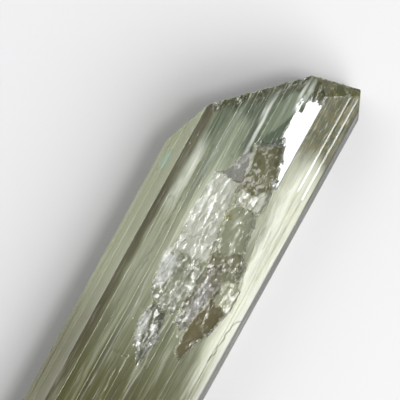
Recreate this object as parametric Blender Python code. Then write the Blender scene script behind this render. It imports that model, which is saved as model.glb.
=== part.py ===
"""A loose hiddenite crystal, the green gem spodumene, lying on its broad back face.

One crystal grew as one piece, so the model is one solid: a flattened, lengthwise-ridged prism
with an oblique chisel tip, an etched hollow in its front face and a splintery broken end.
X runs across the crystal, Y along it towards the tip, and Z up from the face it rests on.
"""

import math
import random

import bmesh
import bpy
from mathutils import Matrix, Vector

MM = 0.001

# Driving dimensions, in millimetres.
LENGTH = 56.0
WIDTH = 15.0
THICKNESS = 8.2

# The cross-section: how far each sloping face reaches across, and up or down.
LEFT_BEVEL = (1.8, 2.1)
LEFT_UNDERCUT = (2.1, 2.7)
RIGHT_BEVEL_SLOPE = 0.75
RIGHT_SIDE_LEAN = 0.32
RIGHT_WAIST = (3.2, 4.2)
RIGHT_UNDERCUT = 2.3

# Where the right bevel meets the front face, as (y, x): near the tip, and down the body.
BEVEL_EDGE_TIP = (16.0, 3.5)
BEVEL_EDGE_BODY = (5.5, 5.4)

# The prism is ridged lengthwise: each side is a row of laths, some deeper than others, and
# a lath changes its depth at two of the breaks along the crystal.
LATHS = {
    "left_bevel": 4,
    "front": 17,
    "right_bevel": 7,
    "right_side": 2,
    "right_waist": 1,
    "right_undercut": 3,
    "back": 5,
    "left_undercut": 3,
    "left_side": 2,
}
LATH_STEP = 0.04
LATH_RISER = 0.02
LATH_BREAKS = 9
LATH_BREAK_LENGTH = 0.2

# Faces of the tip: a point of each, and its outward direction.
APEX = (6.45, 28.0, 1.8)
TIP_FACES = {
    "left_corner": ((-7.35, 15.30, 0.0), (-0.93, 0.37, 0.0)),
    "main_slope": ((-5.60, 19.70, 0.0), (-0.70, 0.71, 0.0)),
    "chisel_edge": (APEX, (-0.25, 0.97, 0.0)),
    "right_corner": (APEX, (0.92, 0.40, 0.05)),
    "top_bevel": ((1.70, 26.70, 8.2), (0.32, 0.51, 0.80)),
}

# The etched hollow is a set of terraces sunk in the front face. Each has its outline in (x, y),
# a point of its floor, the depth there, and how fast the floor deepens along X and along Y.
TERRACES = {
    "tip_facet": (
        [
            (1.9, 24.3),
            (1.7, 22.4),
            (1.95, 19.8),
            (2.55, 19.3),
            (2.9, 17.9),
            (3.3, 15.6),
            (5.4, 15.5),
            (5.4, 24.8),
            (3.2, 24.9),
        ],
        (1.7, 20.0, 0.03),
        (0.11, 0.0),
    ),
    "upper_pit": (
        [(0.0, 18.5), (2.6, 19.9), (2.9, 18.4), (3.5, 16.0), (3.4, 14.7), (2.4, 14.0), (0.6, 14.1)],
        (1.6, 16.6, 0.75),
        (-0.15, 0.06),
    ),
    "dark_wedge": (
        [(-2.1, 14.3), (-0.3, 17.7), (1.1, 17.3), (1.0, 14.6)],
        (-2.1, 14.3, 0.03),
        (0.22, -0.12),
    ),
    "frosted_plate": (
        [(-2.0, 14.4), (0.4, 15.2), (0.9, 10.5), (1.5, 6.1), (0.6, 5.2), (-2.1, 5.9), (-2.15, 10.3)],
        (-0.5, 9.0, 0.20),
        (0.02, 0.004),
    ),
    "glint_ledge": (
        [(0.5, 15.0), (1.8, 14.8), (3.6, 15.2), (3.75, 13.5), (3.3, 12.3), (1.5, 12.2), (0.7, 13.4)],
        (2.2, 13.8, 0.42),
        (0.03, 0.03),
    ),
    "smooth_pocket": (
        [
            (1.0, 12.7),
            (3.1, 12.9),
            (3.8, 11.5),
            (4.0, 9.2),
            (3.2, 7.8),
            (1.7, 7.6),
            (1.0, 9.9),
            (0.8, 11.5),
        ],
        (2.4, 10.2, 0.70),
        (-0.05, 0.03),
    ),
    "fracture_step": (
        [(1.3, 8.3), (3.9, 8.9), (4.8, 7.8), (5.1, 6.1), (3.1, 5.4), (1.4, 5.6)],
        (3.0, 7.0, 0.50),
        (-0.06, 0.05),
    ),
    "lumpy_field": (
        [(-2.4, 6.2), (1.6, 6.4), (1.9, 2.4), (0.8, 0.6), (-1.3, 0.9), (-2.2, 2.6)],
        (0.0, 3.0, 0.28),
        (0.03, -0.01),
    ),
    "lower_shelf": (
        [
            (1.3, 6.1),
            (3.4, 6.3),
            (3.9, 4.6),
            (3.7, 2.9),
            (3.1, 0.6),
            (2.2, -0.4),
            (1.3, 0.3),
            (1.2, 3.2),
        ],
        (2.4, 3.0, 0.42),
        (-0.03, 0.02),
    ),
    "side_shelf": (
        [(3.8, 7.7), (4.8, 7.0), (5.4, 5.6), (5.6, 3.6), (5.3, 2.7), (3.5, 3.1), (3.3, 5.6)],
        (4.4, 5.0, 0.24),
        (0.04, 0.0),
    ),
    "olive_pocket": (
        [
            (3.4, 3.7),
            (5.4, 3.2),
            (4.9, 0.8),
            (4.6, 0.0),
            (3.5, -2.8),
            (2.7, -2.0),
            (2.6, -0.1),
            (2.9, 1.8),
        ],
        (3.8, 1.0, 0.55),
        (-0.08, 0.04),
    ),
    "lens_pit": (
        [
            (-1.2, 0.85),
            (0.3, 0.45),
            (0.9, -2.1),
            (0.6, -4.4),
            (0.1, -4.7),
            (-1.0, -3.2),
            (-1.6, -1.3),
        ],
        (-0.4, -2.0, 0.42),
        (0.05, 0.02),
    ),
}
WALL_LEAN = 0.30

# Etch pits are diamonds, long ways along the crystal: how many in each terrace, and how many
# notches and chips along the edges.
TERRACE_PITS = {
    "upper_pit": 8,
    "frosted_plate": 12,
    "glint_ledge": 6,
    "fracture_step": 7,
    "lumpy_field": 18,
    "lower_shelf": 12,
    "side_shelf": 3,
    "lens_pit": 4,
}
PIT_LENGTH = (0.5, 1.5)
PIT_WIDTH = (0.28, 0.60)
PIT_DEPTH = (0.10, 0.24)
TIP_NOTCHES = 12
EDGE_CHIPS = 10

# The upper right bevel and the front under the hollow are scored with fine etch grooves.
BEVEL_GROOVES = 14
FRONT_GROOVES = 16
GROOVE_LENGTH = (1.4, 4.0)
GROOVE_WIDTH = (0.16, 0.30)
GROOVE_DEPTH = (0.05, 0.10)

# The broken end: splinters bounded by the two cleavages, which cross the broad face at 45
# degrees, each ending at its own length. The longest is left whole.
SPLINTER = 2.3
BREAK_DEPTH = (0.6, 4.6)
BREAK_TILT = 0.45
BREAK_RISER = 0.06
LONGEST_SPLINTER = (4, 3)

# Each group of random features has its own seed.
LATH_SEED = 11
PIT_SEED = 25
BREAK_SEED = 37

# The finish of the whole crystal.
COLOUR = (0.60, 0.65, 0.44, 1.0)
ROUGHNESS = 0.12
SPODUMENE_IOR = 1.66


def bevel_edge_x(y):
    """Where the right bevel meets the front face at y."""
    (tip_y, tip_x), (body_y, body_x) = BEVEL_EDGE_TIP, BEVEL_EDGE_BODY
    share = min(1.0, max(0.0, (tip_y - y) / (tip_y - body_y)))
    return tip_x + (body_x - tip_x) * share


def section_corners(y):
    """The cross-section at y: each side's name with the corner (x, z) where it starts."""
    half = WIDTH / 2
    edge = bevel_edge_x(y)
    # The bevel z = top - slope (x - edge) meets the side x = half - lean (z - waist).
    lean, waist = RIGHT_SIDE_LEAN, RIGHT_WAIST[1]
    shoulder_z = THICKNESS - RIGHT_BEVEL_SLOPE * (half + lean * waist - edge)
    shoulder_z /= 1 - RIGHT_BEVEL_SLOPE * lean
    return {
        "left_bevel": (-half, THICKNESS - LEFT_BEVEL[1]),
        "front": (-half + LEFT_BEVEL[0], THICKNESS),
        "right_bevel": (edge, THICKNESS),
        "right_side": (half - lean * (shoulder_z - waist), shoulder_z),
        "right_waist": (half, waist),
        "right_undercut": (half, RIGHT_WAIST[0]),
        "back": (half - RIGHT_UNDERCUT, 0.0),
        "left_undercut": (-half + LEFT_UNDERCUT[0], 0.0),
        "left_side": (-half, LEFT_UNDERCUT[1]),
    }


def lath_plan(rng):
    """Each side's laths: the shares of its width where they meet, and their depths by stretch.

    A stretch is the length of crystal between two breaks.
    """
    plan = {}
    for side, count in LATHS.items():
        widths = [rng.uniform(0.5, 1.6) for _ in range(count)]
        bounds = [sum(widths[:i]) / sum(widths) for i in range(count + 1)]
        stretches = []
        for i in range(count):
            changes = sorted(rng.sample(range(LATH_BREAKS), 2))
            levels = [LATH_STEP * rng.randrange(4) for _ in range(3)]
            # The outer laths keep the corners true, and the back rests on every other one.
            if i in (0, count - 1) or (side == "back" and i % 2 == 0):
                levels = [0.0] * 3
            depths = [
                levels[sum(stretch > change for change in changes)]
                for stretch in range(LATH_BREAKS + 1)
            ]
            stretches.append(depths)
        plan[side] = (bounds, stretches)
    return plan


def ring_at(y, stretch, plan):
    """The ridged outline of the crystal at y, as points."""
    corners = section_corners(y)
    starts = [Vector(corner) for corner in corners.values()]
    points = []
    for side, start, end in zip(corners, starts, starts[1:] + starts[:1]):
        along = end - start
        inward = Vector((along.y, -along.x)).normalized()
        riser = LATH_RISER / along.length
        bounds, laths = plan[side]
        points.append(start)
        for bound, before, after in zip(bounds[1:-1], laths, laths[1:]):
            points.append(start + along * (bound - riser) + inward * before[stretch])
            points.append(start + along * (bound + riser) + inward * after[stretch])
    return [Vector((p.x, y, p.y)) for p in points]


def ridged_prism():
    """The crystal before its ends are shaped: rings of points joined by strips of faces."""
    rng = random.Random(LATH_SEED)
    plan = lath_plan(rng)
    low, high = -LENGTH / 2, LENGTH / 2 + 1.0
    spacing = (high - low) / (LATH_BREAKS + 1)
    breaks = [low + spacing * (i + 1 + rng.uniform(-0.3, 0.3)) for i in range(LATH_BREAKS)]
    stations = [(low, 0), (high, LATH_BREAKS)]
    for i, y in enumerate(breaks):
        stations += [(y, i), (y + LATH_BREAK_LENGTH, i + 1)]
    for y, _ in (BEVEL_EDGE_TIP, BEVEL_EDGE_BODY):
        stations.append((y, sum(y > b for b in breaks)))
    mesh = bmesh.new()
    rings = [[mesh.verts.new(p * MM) for p in ring_at(y, i, plan)] for y, i in sorted(stations)]
    for lower, upper in zip(rings, rings[1:]):
        for i in range(len(lower)):
            j = (i + 1) % len(lower)
            mesh.faces.new((lower[i], lower[j], upper[j], upper[i]))
    bmesh.ops.triangulate(mesh, faces=mesh.faces[:])
    mesh.faces.new(rings[0])
    mesh.faces.new(reversed(rings[-1]))
    bmesh.ops.recalc_face_normals(mesh, faces=mesh.faces)
    return mesh


def cut_tip(mesh):
    """Slices the prism by each face of the tip, and closes each cut."""
    for place, direction in TIP_FACES.values():
        bmesh.ops.bisect_plane(
            mesh,
            geom=mesh.verts[:] + mesh.edges[:] + mesh.faces[:],
            dist=1e-7,
            plane_co=Vector(place) * MM,
            plane_no=Vector(direction).normalized(),
            clear_outer=True,
        )
        rim = [edge for edge in mesh.edges if edge.is_boundary]
        bmesh.ops.holes_fill(mesh, edges=rim, sides=0)
    bmesh.ops.recalc_face_normals(mesh, faces=mesh.faces)


def add_object(name, mesh, collection):
    """Turns a bmesh into an object of a collection."""
    data = bpy.data.meshes.new(name)
    mesh.to_mesh(data)
    mesh.free()
    obj = bpy.data.objects.new(name, data)
    collection.objects.link(obj)
    return obj


def add_cutter(name, mesh, collection):
    """A closed solid that only cuts, so it is kept out of renders."""
    bmesh.ops.recalc_face_normals(mesh, faces=mesh.faces)
    cutter = add_object(name, mesh, collection)
    cutter.hide_render = True
    cutter.display_type = "WIRE"


def front_height(x, y):
    """The height of the crystal's upper faces at (x, y), before anything is cut in them."""
    left = THICKNESS - LEFT_BEVEL[1] * (1 - (x + WIDTH / 2) / LEFT_BEVEL[0])
    right = THICKNESS - RIGHT_BEVEL_SLOPE * (x - bevel_edge_x(y))
    return min(THICKNESS, left, right)


def terrace_depth(name, x, y):
    """How deep a terrace's floor lies under the front face at (x, y)."""
    _, (x0, y0, depth), (x_slope, y_slope) = TERRACES[name]
    return max(0.02, depth + x_slope * (x - x0) + y_slope * (y - y0))


def centre_of(outline):
    """The mean of an outline's corners."""
    return sum((Vector(corner) for corner in outline), Vector((0, 0))) / len(outline)


def terrace_cutter(name):
    """A block whose underside is the terrace's sloping floor, with walls that lean outwards."""
    outline = TERRACES[name][0]
    centre = centre_of(outline)
    above = 1.5
    mesh = bmesh.new()
    rim, foot = [], []
    for corner in map(Vector, outline):
        outward = (corner - centre).normalized()
        depth = terrace_depth(name, *corner)
        high = corner + outward * WALL_LEAN * above
        low = corner - outward * WALL_LEAN * depth
        rim.append(mesh.verts.new(Vector((*high, THICKNESS + above)) * MM))
        foot.append(mesh.verts.new(Vector((*low, THICKNESS - depth)) * MM))
    for i in range(len(rim)):
        j = (i + 1) % len(rim)
        mesh.faces.new((rim[i], rim[j], foot[j], foot[i]))
    mesh.faces.new(rim)
    floor = mesh.faces.new(foot)
    bmesh.ops.triangulate(mesh, faces=[floor])
    return mesh


def pit_cutter(place, size, turn, lean):
    """An upside-down pyramid on a diamond: sharp at both ends, deepest off its middle.

    It is turned about Z, and then leans over towards +X as far as the face that it is cut in.
    """
    length, width, depth = size
    face = Matrix.Rotation(lean, 3, "Y") @ Matrix.Rotation(turn, 3, "Z")
    mesh = bmesh.new()
    rim = []
    for quarter in range(4):
        angle = quarter * math.pi / 2
        # The rim is twice the pit's size, at its depth above the face, so the walls run straight.
        corner = face @ Vector((width * math.cos(angle), length * math.sin(angle), depth))
        rim.append(mesh.verts.new((place + corner) * MM))
    bottom = mesh.verts.new((place + face @ Vector((0.15 * width, -0.1 * length, -depth))) * MM)
    for i in range(4):
        mesh.faces.new((rim[i], rim[(i + 1) % 4], bottom))
    mesh.faces.new(rim)
    return mesh


def random_pit(rng, place, collection, ranges=(PIT_LENGTH, PIT_WIDTH, PIT_DEPTH), turn=0.2, lean=0.0):
    """One etch pit of a random size and turn at a place on the crystal's upper side."""
    size = [rng.uniform(*limits) for limits in ranges]
    mesh = pit_cutter(Vector(place), size, rng.uniform(-turn, turn), lean)
    add_cutter("etch_pit", mesh, collection)


def break_cutter():
    """A block whose far face is the broken end: flat tilted splinter ends with steep risers.

    Its grid runs along the two cleavages, p = (x + z) / sqrt 2 and q = (x - z) / sqrt 2.
    """
    rng = random.Random(BREAK_SEED)
    reach = (WIDTH + 2 * THICKNESS) / 2 / math.sqrt(2) + SPLINTER
    cells = math.ceil(2 * reach / SPLINTER)
    centre_p, centre_q = THICKNESS / 2 / math.sqrt(2), -THICKNESS / 2 / math.sqrt(2)
    lines = []
    for centre in (centre_p, centre_q):
        edges = [centre - reach + SPLINTER * (i + rng.uniform(-0.35, 0.35)) for i in range(cells + 1)]
        lines.append([edge + side * BREAK_RISER for edge in edges for side in (-1, 1)][1:-1])
    ends = {}
    for i in range(cells):
        for j in range(cells):
            ends[i, j] = (rng.uniform(*BREAK_DEPTH), rng.uniform(-1, 1), rng.uniform(-1, 1))
    ends[LONGEST_SPLINTER] = (-1.0, 0.0, 0.0)
    mesh = bmesh.new()
    start = -LENGTH / 2 - 3.0
    front, back = {}, {}
    for a, p in enumerate(lines[0]):
        for b, q in enumerate(lines[1]):
            depth, p_tilt, q_tilt = ends[a // 2, b // 2]
            tilt = BREAK_TILT * (p_tilt * (a % 2 - 0.5) + q_tilt * (b % 2 - 0.5)) * SPLINTER
            x, z = (p + q) / math.sqrt(2), (p - q) / math.sqrt(2)
            front[a, b] = mesh.verts.new(Vector((x, -LENGTH / 2 + depth + tilt, z)) * MM)
            back[a, b] = mesh.verts.new(Vector((x, start, z)) * MM)
    last_a, last_b = len(lines[0]) - 1, len(lines[1]) - 1
    for a in range(last_a):
        for b in range(last_b):
            for layer in (front, back):
                mesh.faces.new((layer[a, b], layer[a + 1, b], layer[a + 1, b + 1], layer[a, b + 1]))
    rim = [(a, 0) for a in range(last_a)] + [(last_a, b) for b in range(last_b)]
    rim += [(a, last_b) for a in range(last_a, 0, -1)] + [(0, b) for b in range(last_b, 0, -1)]
    for here, there in zip(rim, rim[1:] + rim[:1]):
        mesh.faces.new((front[here], front[there], back[there], back[here]))
    return mesh


def add_terraces(collection):
    """The terraces of the etched hollow."""
    for name in TERRACES:
        add_cutter(name, terrace_cutter(name), collection)


def add_pits(collection):
    """Etch pits in the hollow, notches along the edges, and grooves in the bevel and the front."""
    rng = random.Random(PIT_SEED)
    for name, count in TERRACE_PITS.items():
        outline = TERRACES[name][0]
        centre = centre_of(outline)
        for _ in range(count):
            x, y = centre.lerp(Vector(rng.choice(outline)), rng.uniform(0.1, 0.8))
            random_pit(rng, (x, y, THICKNESS - terrace_depth(name, x, y)), collection)
    for i in range(TIP_NOTCHES):
        x = -5.4 + 7.0 * (i + rng.uniform(0.1, 0.9)) / TIP_NOTCHES
        random_pit(rng, (x, 19.2 + (x + 5.6), THICKNESS - 0.1), collection)
    for i in range(EDGE_CHIPS):
        side = rng.choice((-1, 1))
        y = -26.0 + 38.0 * (i + rng.uniform(0.1, 0.9)) / EDGE_CHIPS
        random_pit(rng, (side * (WIDTH / 2 - 0.1), y, rng.uniform(3.0, 5.5)), collection)
    grooves = (GROOVE_LENGTH, GROOVE_WIDTH, GROOVE_DEPTH)
    for _ in range(BEVEL_GROOVES):
        y = rng.uniform(9.0, 24.0)
        x = rng.uniform(bevel_edge_x(y) + 0.3, 6.3)
        lean = math.atan(RIGHT_BEVEL_SLOPE)
        random_pit(rng, (x, y, front_height(x, y)), collection, grooves, 0.02, lean)
    for _ in range(FRONT_GROOVES):
        x, y = rng.uniform(-2.5, 4.2), rng.uniform(-12.0, -4.0)
        random_pit(rng, (x, y, THICKNESS), collection, grooves, 0.06)


def add_boolean(obj, name, collection):
    """Cuts every solid of a collection out of the object."""
    cut = obj.modifiers.new(name, "BOOLEAN")
    cut.operation = "DIFFERENCE"
    cut.operand_type = "COLLECTION"
    cut.collection = collection
    cut.solver = "EXACT"


def crystal_material():
    """Clear pale yellow-green spodumene."""
    material = bpy.data.materials.new("hiddenite")
    material.use_nodes = True
    shader = material.node_tree.nodes["Principled BSDF"]
    shader.inputs["Base Color"].default_value = COLOUR
    shader.inputs["Roughness"].default_value = ROUGHNESS
    shader.inputs["Metallic"].default_value = 0.0
    shader.inputs["IOR"].default_value = SPODUMENE_IOR
    shader.inputs["Transmission Weight"].default_value = 1.0
    return material


def build_crystal():
    """The whole crystal: the ridged prism, its tip faces, and what is cut out of it."""
    scene = bpy.context.scene.collection
    prism = ridged_prism()
    cut_tip(prism)
    crystal = add_object("hiddenite_crystal", prism, scene)
    crystal.data.materials.append(crystal_material())
    groups = {}
    for name in ("hollow", "pits", "broken_end"):
        groups[name] = bpy.data.collections.new(name)
        scene.children.link(groups[name])
    add_terraces(groups["hollow"])
    add_pits(groups["pits"])
    add_cutter("break", break_cutter(), groups["broken_end"])
    for name, group in groups.items():
        add_boolean(crystal, name, group)


for old in list(bpy.data.objects):
    bpy.data.objects.remove(old)
build_crystal()
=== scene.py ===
import math
import random

import bpy
import numpy as np
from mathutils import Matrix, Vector


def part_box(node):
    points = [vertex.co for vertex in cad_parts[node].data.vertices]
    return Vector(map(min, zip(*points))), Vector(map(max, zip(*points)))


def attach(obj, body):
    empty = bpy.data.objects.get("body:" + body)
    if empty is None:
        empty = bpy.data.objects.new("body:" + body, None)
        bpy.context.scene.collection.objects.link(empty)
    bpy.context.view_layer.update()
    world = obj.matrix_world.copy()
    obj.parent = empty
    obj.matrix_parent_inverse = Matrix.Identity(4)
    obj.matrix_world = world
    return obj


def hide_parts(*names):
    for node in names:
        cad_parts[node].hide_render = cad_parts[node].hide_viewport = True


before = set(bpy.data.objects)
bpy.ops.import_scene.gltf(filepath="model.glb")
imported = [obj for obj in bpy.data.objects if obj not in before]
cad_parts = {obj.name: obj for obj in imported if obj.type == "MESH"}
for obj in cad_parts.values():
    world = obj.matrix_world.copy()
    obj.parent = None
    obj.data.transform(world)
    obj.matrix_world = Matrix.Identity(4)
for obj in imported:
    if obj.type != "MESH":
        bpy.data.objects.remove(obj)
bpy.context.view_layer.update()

MM = 0.001

# The camera. The crystal lies on its back and the camera looks straight down on its front
# face with a long lens, turned so that the crystal leans as it does in the photograph, with
# its lower end past the picture's edge.
PHOTO_SIDE = 400
CRYSTAL_PIXELS = 158
LEFT_EDGE_PIXEL = (23, 400)
LEFT_EDGE_Y = -13.4
LEAN = math.radians(29.0)
LENS = 250.0
SENSOR = 36.0
FOCUS_HEIGHT = 5.0

low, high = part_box("hiddenite_crystal")
WIDTH = round((high[0] - low[0]) / MM, 1)
LENGTH = round((high[1] - low[1]) / MM, 1)
THICKNESS = round((high[2] - low[2]) / MM, 1)

pixel = WIDTH / CRYSTAL_PIXELS
across = (PHOTO_SIDE / 2 - LEFT_EDGE_PIXEL[0]) * pixel
upwards = (LEFT_EDGE_PIXEL[1] - PHOTO_SIDE / 2) * pixel
camera_data = bpy.data.cameras.new("camera")
camera_data.lens = LENS
camera_data.sensor_width = SENSOR
camera_data.clip_start = 0.01
camera = bpy.data.objects.new("camera", camera_data)
camera.location = Vector((
    -WIDTH / 2 + across * math.cos(LEAN) - upwards * math.sin(LEAN),
    LEFT_EDGE_Y + across * math.sin(LEAN) + upwards * math.cos(LEAN),
    FOCUS_HEIGHT + PHOTO_SIDE * pixel * LENS / SENSOR,
)) * MM
camera.rotation_euler = (0.0, 0.0, LEAN)
bpy.context.scene.collection.objects.link(camera)
bpy.context.scene.camera = camera

# The prism. A spodumene crystal grows long and flat, with nine narrow sides here, each made
# of laths side by side that stand a little proud of each other and are finely lined
# lengthwise. The nine sides are carried along the crystal as one closed surface.
LEFT_BEVEL = (1.8, 2.1)
LEFT_UNDERCUT = (2.1, 2.7)
RIGHT_BEVEL_SLOPE = 0.75
RIGHT_SIDE_LEAN = 0.32
RIGHT_WAIST = (3.2, 4.2)
RIGHT_UNDERCUT = 2.3
BEVEL_EDGE_TIP = (16.0, 3.5)
BEVEL_EDGE_BODY = (5.5, 5.4)
LATHS = {
    "left_bevel": 4,
    "front": 17,
    "right_bevel": 7,
    "right_side": 2,
    "right_waist": 1,
    "right_undercut": 3,
    "back": 5,
    "left_undercut": 3,
    "left_side": 2,
}
LATH_STEP = 0.04
LATH_RISER = 0.02
LATH_BREAKS = 9
LATH_BREAK_LENGTH = 0.2
LATH_SEED = 11
COLUMNS = {
    "left_bevel": 24,
    "front": 104,
    "right_bevel": 30,
    "right_side": 10,
    "right_waist": 2,
    "right_undercut": 12,
    "back": 26,
    "left_undercut": 12,
    "left_side": 12,
}
LINE_DEPTH = 0.010
LINE_WIDTH = 0.30
LINE_LENGTH = 4.5


def section(y):
    """The corners of the nine-sided cross-section at y: x and z, each as nine arrays.

    The right bevel runs down from its edge at a fixed slope to where it meets the leaning side.
    """
    half = WIDTH / 2
    places = (BEVEL_EDGE_BODY[0], BEVEL_EDGE_TIP[0])
    edge = np.interp(y, places, (BEVEL_EDGE_BODY[1], BEVEL_EDGE_TIP[1]))
    lean, waist = RIGHT_SIDE_LEAN, RIGHT_WAIST[1]
    shoulder_z = THICKNESS - RIGHT_BEVEL_SLOPE * (half + lean * waist - edge)
    shoulder_z = shoulder_z / (1 - RIGHT_BEVEL_SLOPE * lean)
    corners = [
        (-half, THICKNESS - LEFT_BEVEL[1]),
        (-half + LEFT_BEVEL[0], THICKNESS),
        (edge, THICKNESS),
        (half - lean * (shoulder_z - waist), shoulder_z),
        (half, waist),
        (half, RIGHT_WAIST[0]),
        (half - RIGHT_UNDERCUT, 0.0),
        (-half + LEFT_UNDERCUT[0], 0.0),
        (-half, LEFT_UNDERCUT[1]),
    ]
    x = np.array([np.broadcast_to(corner[0], y.shape) for corner in corners])
    z = np.array([np.broadcast_to(corner[1], y.shape) for corner in corners])
    return x, z


def lath_plan(rng):
    """Each side's laths: the shares of its width where they meet, and their depths by stretch.

    A stretch is the length of crystal between two breaks.
    """
    plan = []
    for name, count in LATHS.items():
        widths = [rng.uniform(0.5, 1.6) for _ in range(count)]
        bounds = [sum(widths[:i]) / sum(widths) for i in range(count + 1)]
        depths = []
        for i in range(count):
            changes = sorted(rng.sample(range(LATH_BREAKS), 2))
            levels = [LATH_STEP * rng.randrange(4) for _ in range(3)]
            if i in (0, count - 1) or (name == "back" and i % 2 == 0):
                levels = [0.0] * 3
            stretches = range(LATH_BREAKS + 1)
            depths.append([levels[sum(s > change for change in changes)] for s in stretches])
        plan.append((bounds, depths))
    return plan


lath_rng = random.Random(LATH_SEED)
laths = lath_plan(lath_rng)
break_spacing = (LENGTH + 1.0) / (LATH_BREAKS + 1)
lath_breaks = [
    -LENGTH / 2 + break_spacing * (i + 1 + lath_rng.uniform(-0.3, 0.3))
    for i in range(LATH_BREAKS)
]
mid_x, mid_z = section(np.zeros(1))
side_lengths = np.hypot(np.roll(mid_x, -1, 0) - mid_x, np.roll(mid_z, -1, 0) - mid_z)[:, 0]


def side_shares(index, name):
    """Where one side's columns stand: evenly spaced, with a pair on either side of each riser."""
    riser = LATH_RISER / side_lengths[index]
    bounds = np.array(laths[index][0][1:-1])
    even = np.linspace(0.0, 1.0, COLUMNS[name], endpoint=False)
    clear = np.abs(even[:, None] - bounds[None, :]).min(1, initial=1.0) > 1.6 * riser
    return np.sort(np.concatenate([even[clear | (even == 0)], bounds - riser, bounds + riser]))


shares = [side_shares(i, name) for i, name in enumerate(COLUMNS)]
side = np.concatenate([np.full(len(s), i) for i, s in enumerate(shares)])
share = np.concatenate(shares)
TOP_SIDES = [list(COLUMNS).index(name) for name in ("left_bevel", "front", "right_bevel", "right_side")]


def prism_surface(y):
    """The plain prism at every column and y, and the direction into it: x, z, in_x, in_z.

    A column's point lies at its share of the way between its side's two corners.
    """
    corner_x, corner_z = section(y)
    columns = np.arange(len(side))
    start_x, start_z = corner_x[side, columns], corner_z[side, columns]
    last = (side + 1) % len(COLUMNS)
    run_x, run_z = corner_x[last, columns] - start_x, corner_z[last, columns] - start_z
    length = np.hypot(run_x, run_z)
    x = start_x + share[:, None] * run_x
    z = start_z + share[:, None] * run_z
    return x, z, run_z / length, -run_x / length


def lath_depth(y):
    """How deep each column's lath lies at y: level along each stretch, with a short ramp at a break."""
    places = np.array([[b, b + LATH_BREAK_LENGTH] for b in lath_breaks]).ravel()
    depth = np.zeros(y.shape)
    for index, (bounds, depths) in enumerate(laths):
        members = np.flatnonzero(side == index)
        which = np.clip(np.searchsorted(bounds, share[members], side="right") - 1, 0, len(depths) - 1)
        for lath, levels in enumerate(depths):
            columns = members[which == lath]
            ramp = np.repeat(levels, 2)[1:-1]
            depth[columns] = np.interp(y[columns], places, ramp)
    return depth


def wander(x, y, size, seed):
    """Smooth noise from -1 to 1: random heights on a lattice of the given size, blended."""
    table = np.random.default_rng(seed).uniform(-1.0, 1.0, (256, 256))
    px, py = x / size + 64.0, y / size + 64.0
    ix, iy = np.floor(px).astype(int), np.floor(py).astype(int)
    fx, fy = px - ix, py - iy
    fx, fy = fx * fx * (3 - 2 * fx), fy * fy * (3 - 2 * fy)
    rows = [table[(ix + dx) % 256, iy % 256] * (1 - fy) + table[(ix + dx) % 256, (iy + 1) % 256] * fy
            for dx in (0, 1)]
    return rows[0] * (1 - fx) + rows[1] * fx


def line_depth(y):
    """Fine growth lines: smooth noise over the way round the section, drawn out along it."""
    round_section = (np.cumsum(side_lengths) - side_lengths)[side] + share * side_lengths[side]
    across = np.broadcast_to(round_section[:, None], y.shape)
    depth = 0.5 + 0.5 * wander(across, y * LINE_WIDTH / LINE_LENGTH, LINE_WIDTH, 5)
    flat_back = (side == list(COLUMNS).index("back"))[:, None]
    return np.where(flat_back, 0.0, LINE_DEPTH * depth)


# The tip. Four oblique growth faces close the upper end, and a fifth bevels its top corner.
# Each is a plane, and the crystal stops at the first that it meets.
APEX = (6.45, 28.0, 1.8)
TIP_FACES = {
    "left_corner": ((-7.35, 15.30, 0.0), (-0.93, 0.37, 0.0)),
    "main_slope": ((-5.60, 19.70, 0.0), (-0.70, 0.71, 0.0)),
    "chisel_edge": (APEX, (-0.25, 0.97, 0.0)),
    "right_corner": (APEX, (0.92, 0.40, 0.05)),
}
TOP_BEVEL = ((1.70, 26.70, 8.2), (0.32, 0.51, 0.80))


def tip_end(x, z):
    """The y at which the tip's faces stop a line along the crystal at (x, z): the least of all."""
    ends = []
    for place, normal in TIP_FACES.values():
        ends.append(place[1] + (normal[0] * (place[0] - x) + normal[2] * (place[2] - z)) / normal[1])
    return np.min(ends, axis=0)


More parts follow.
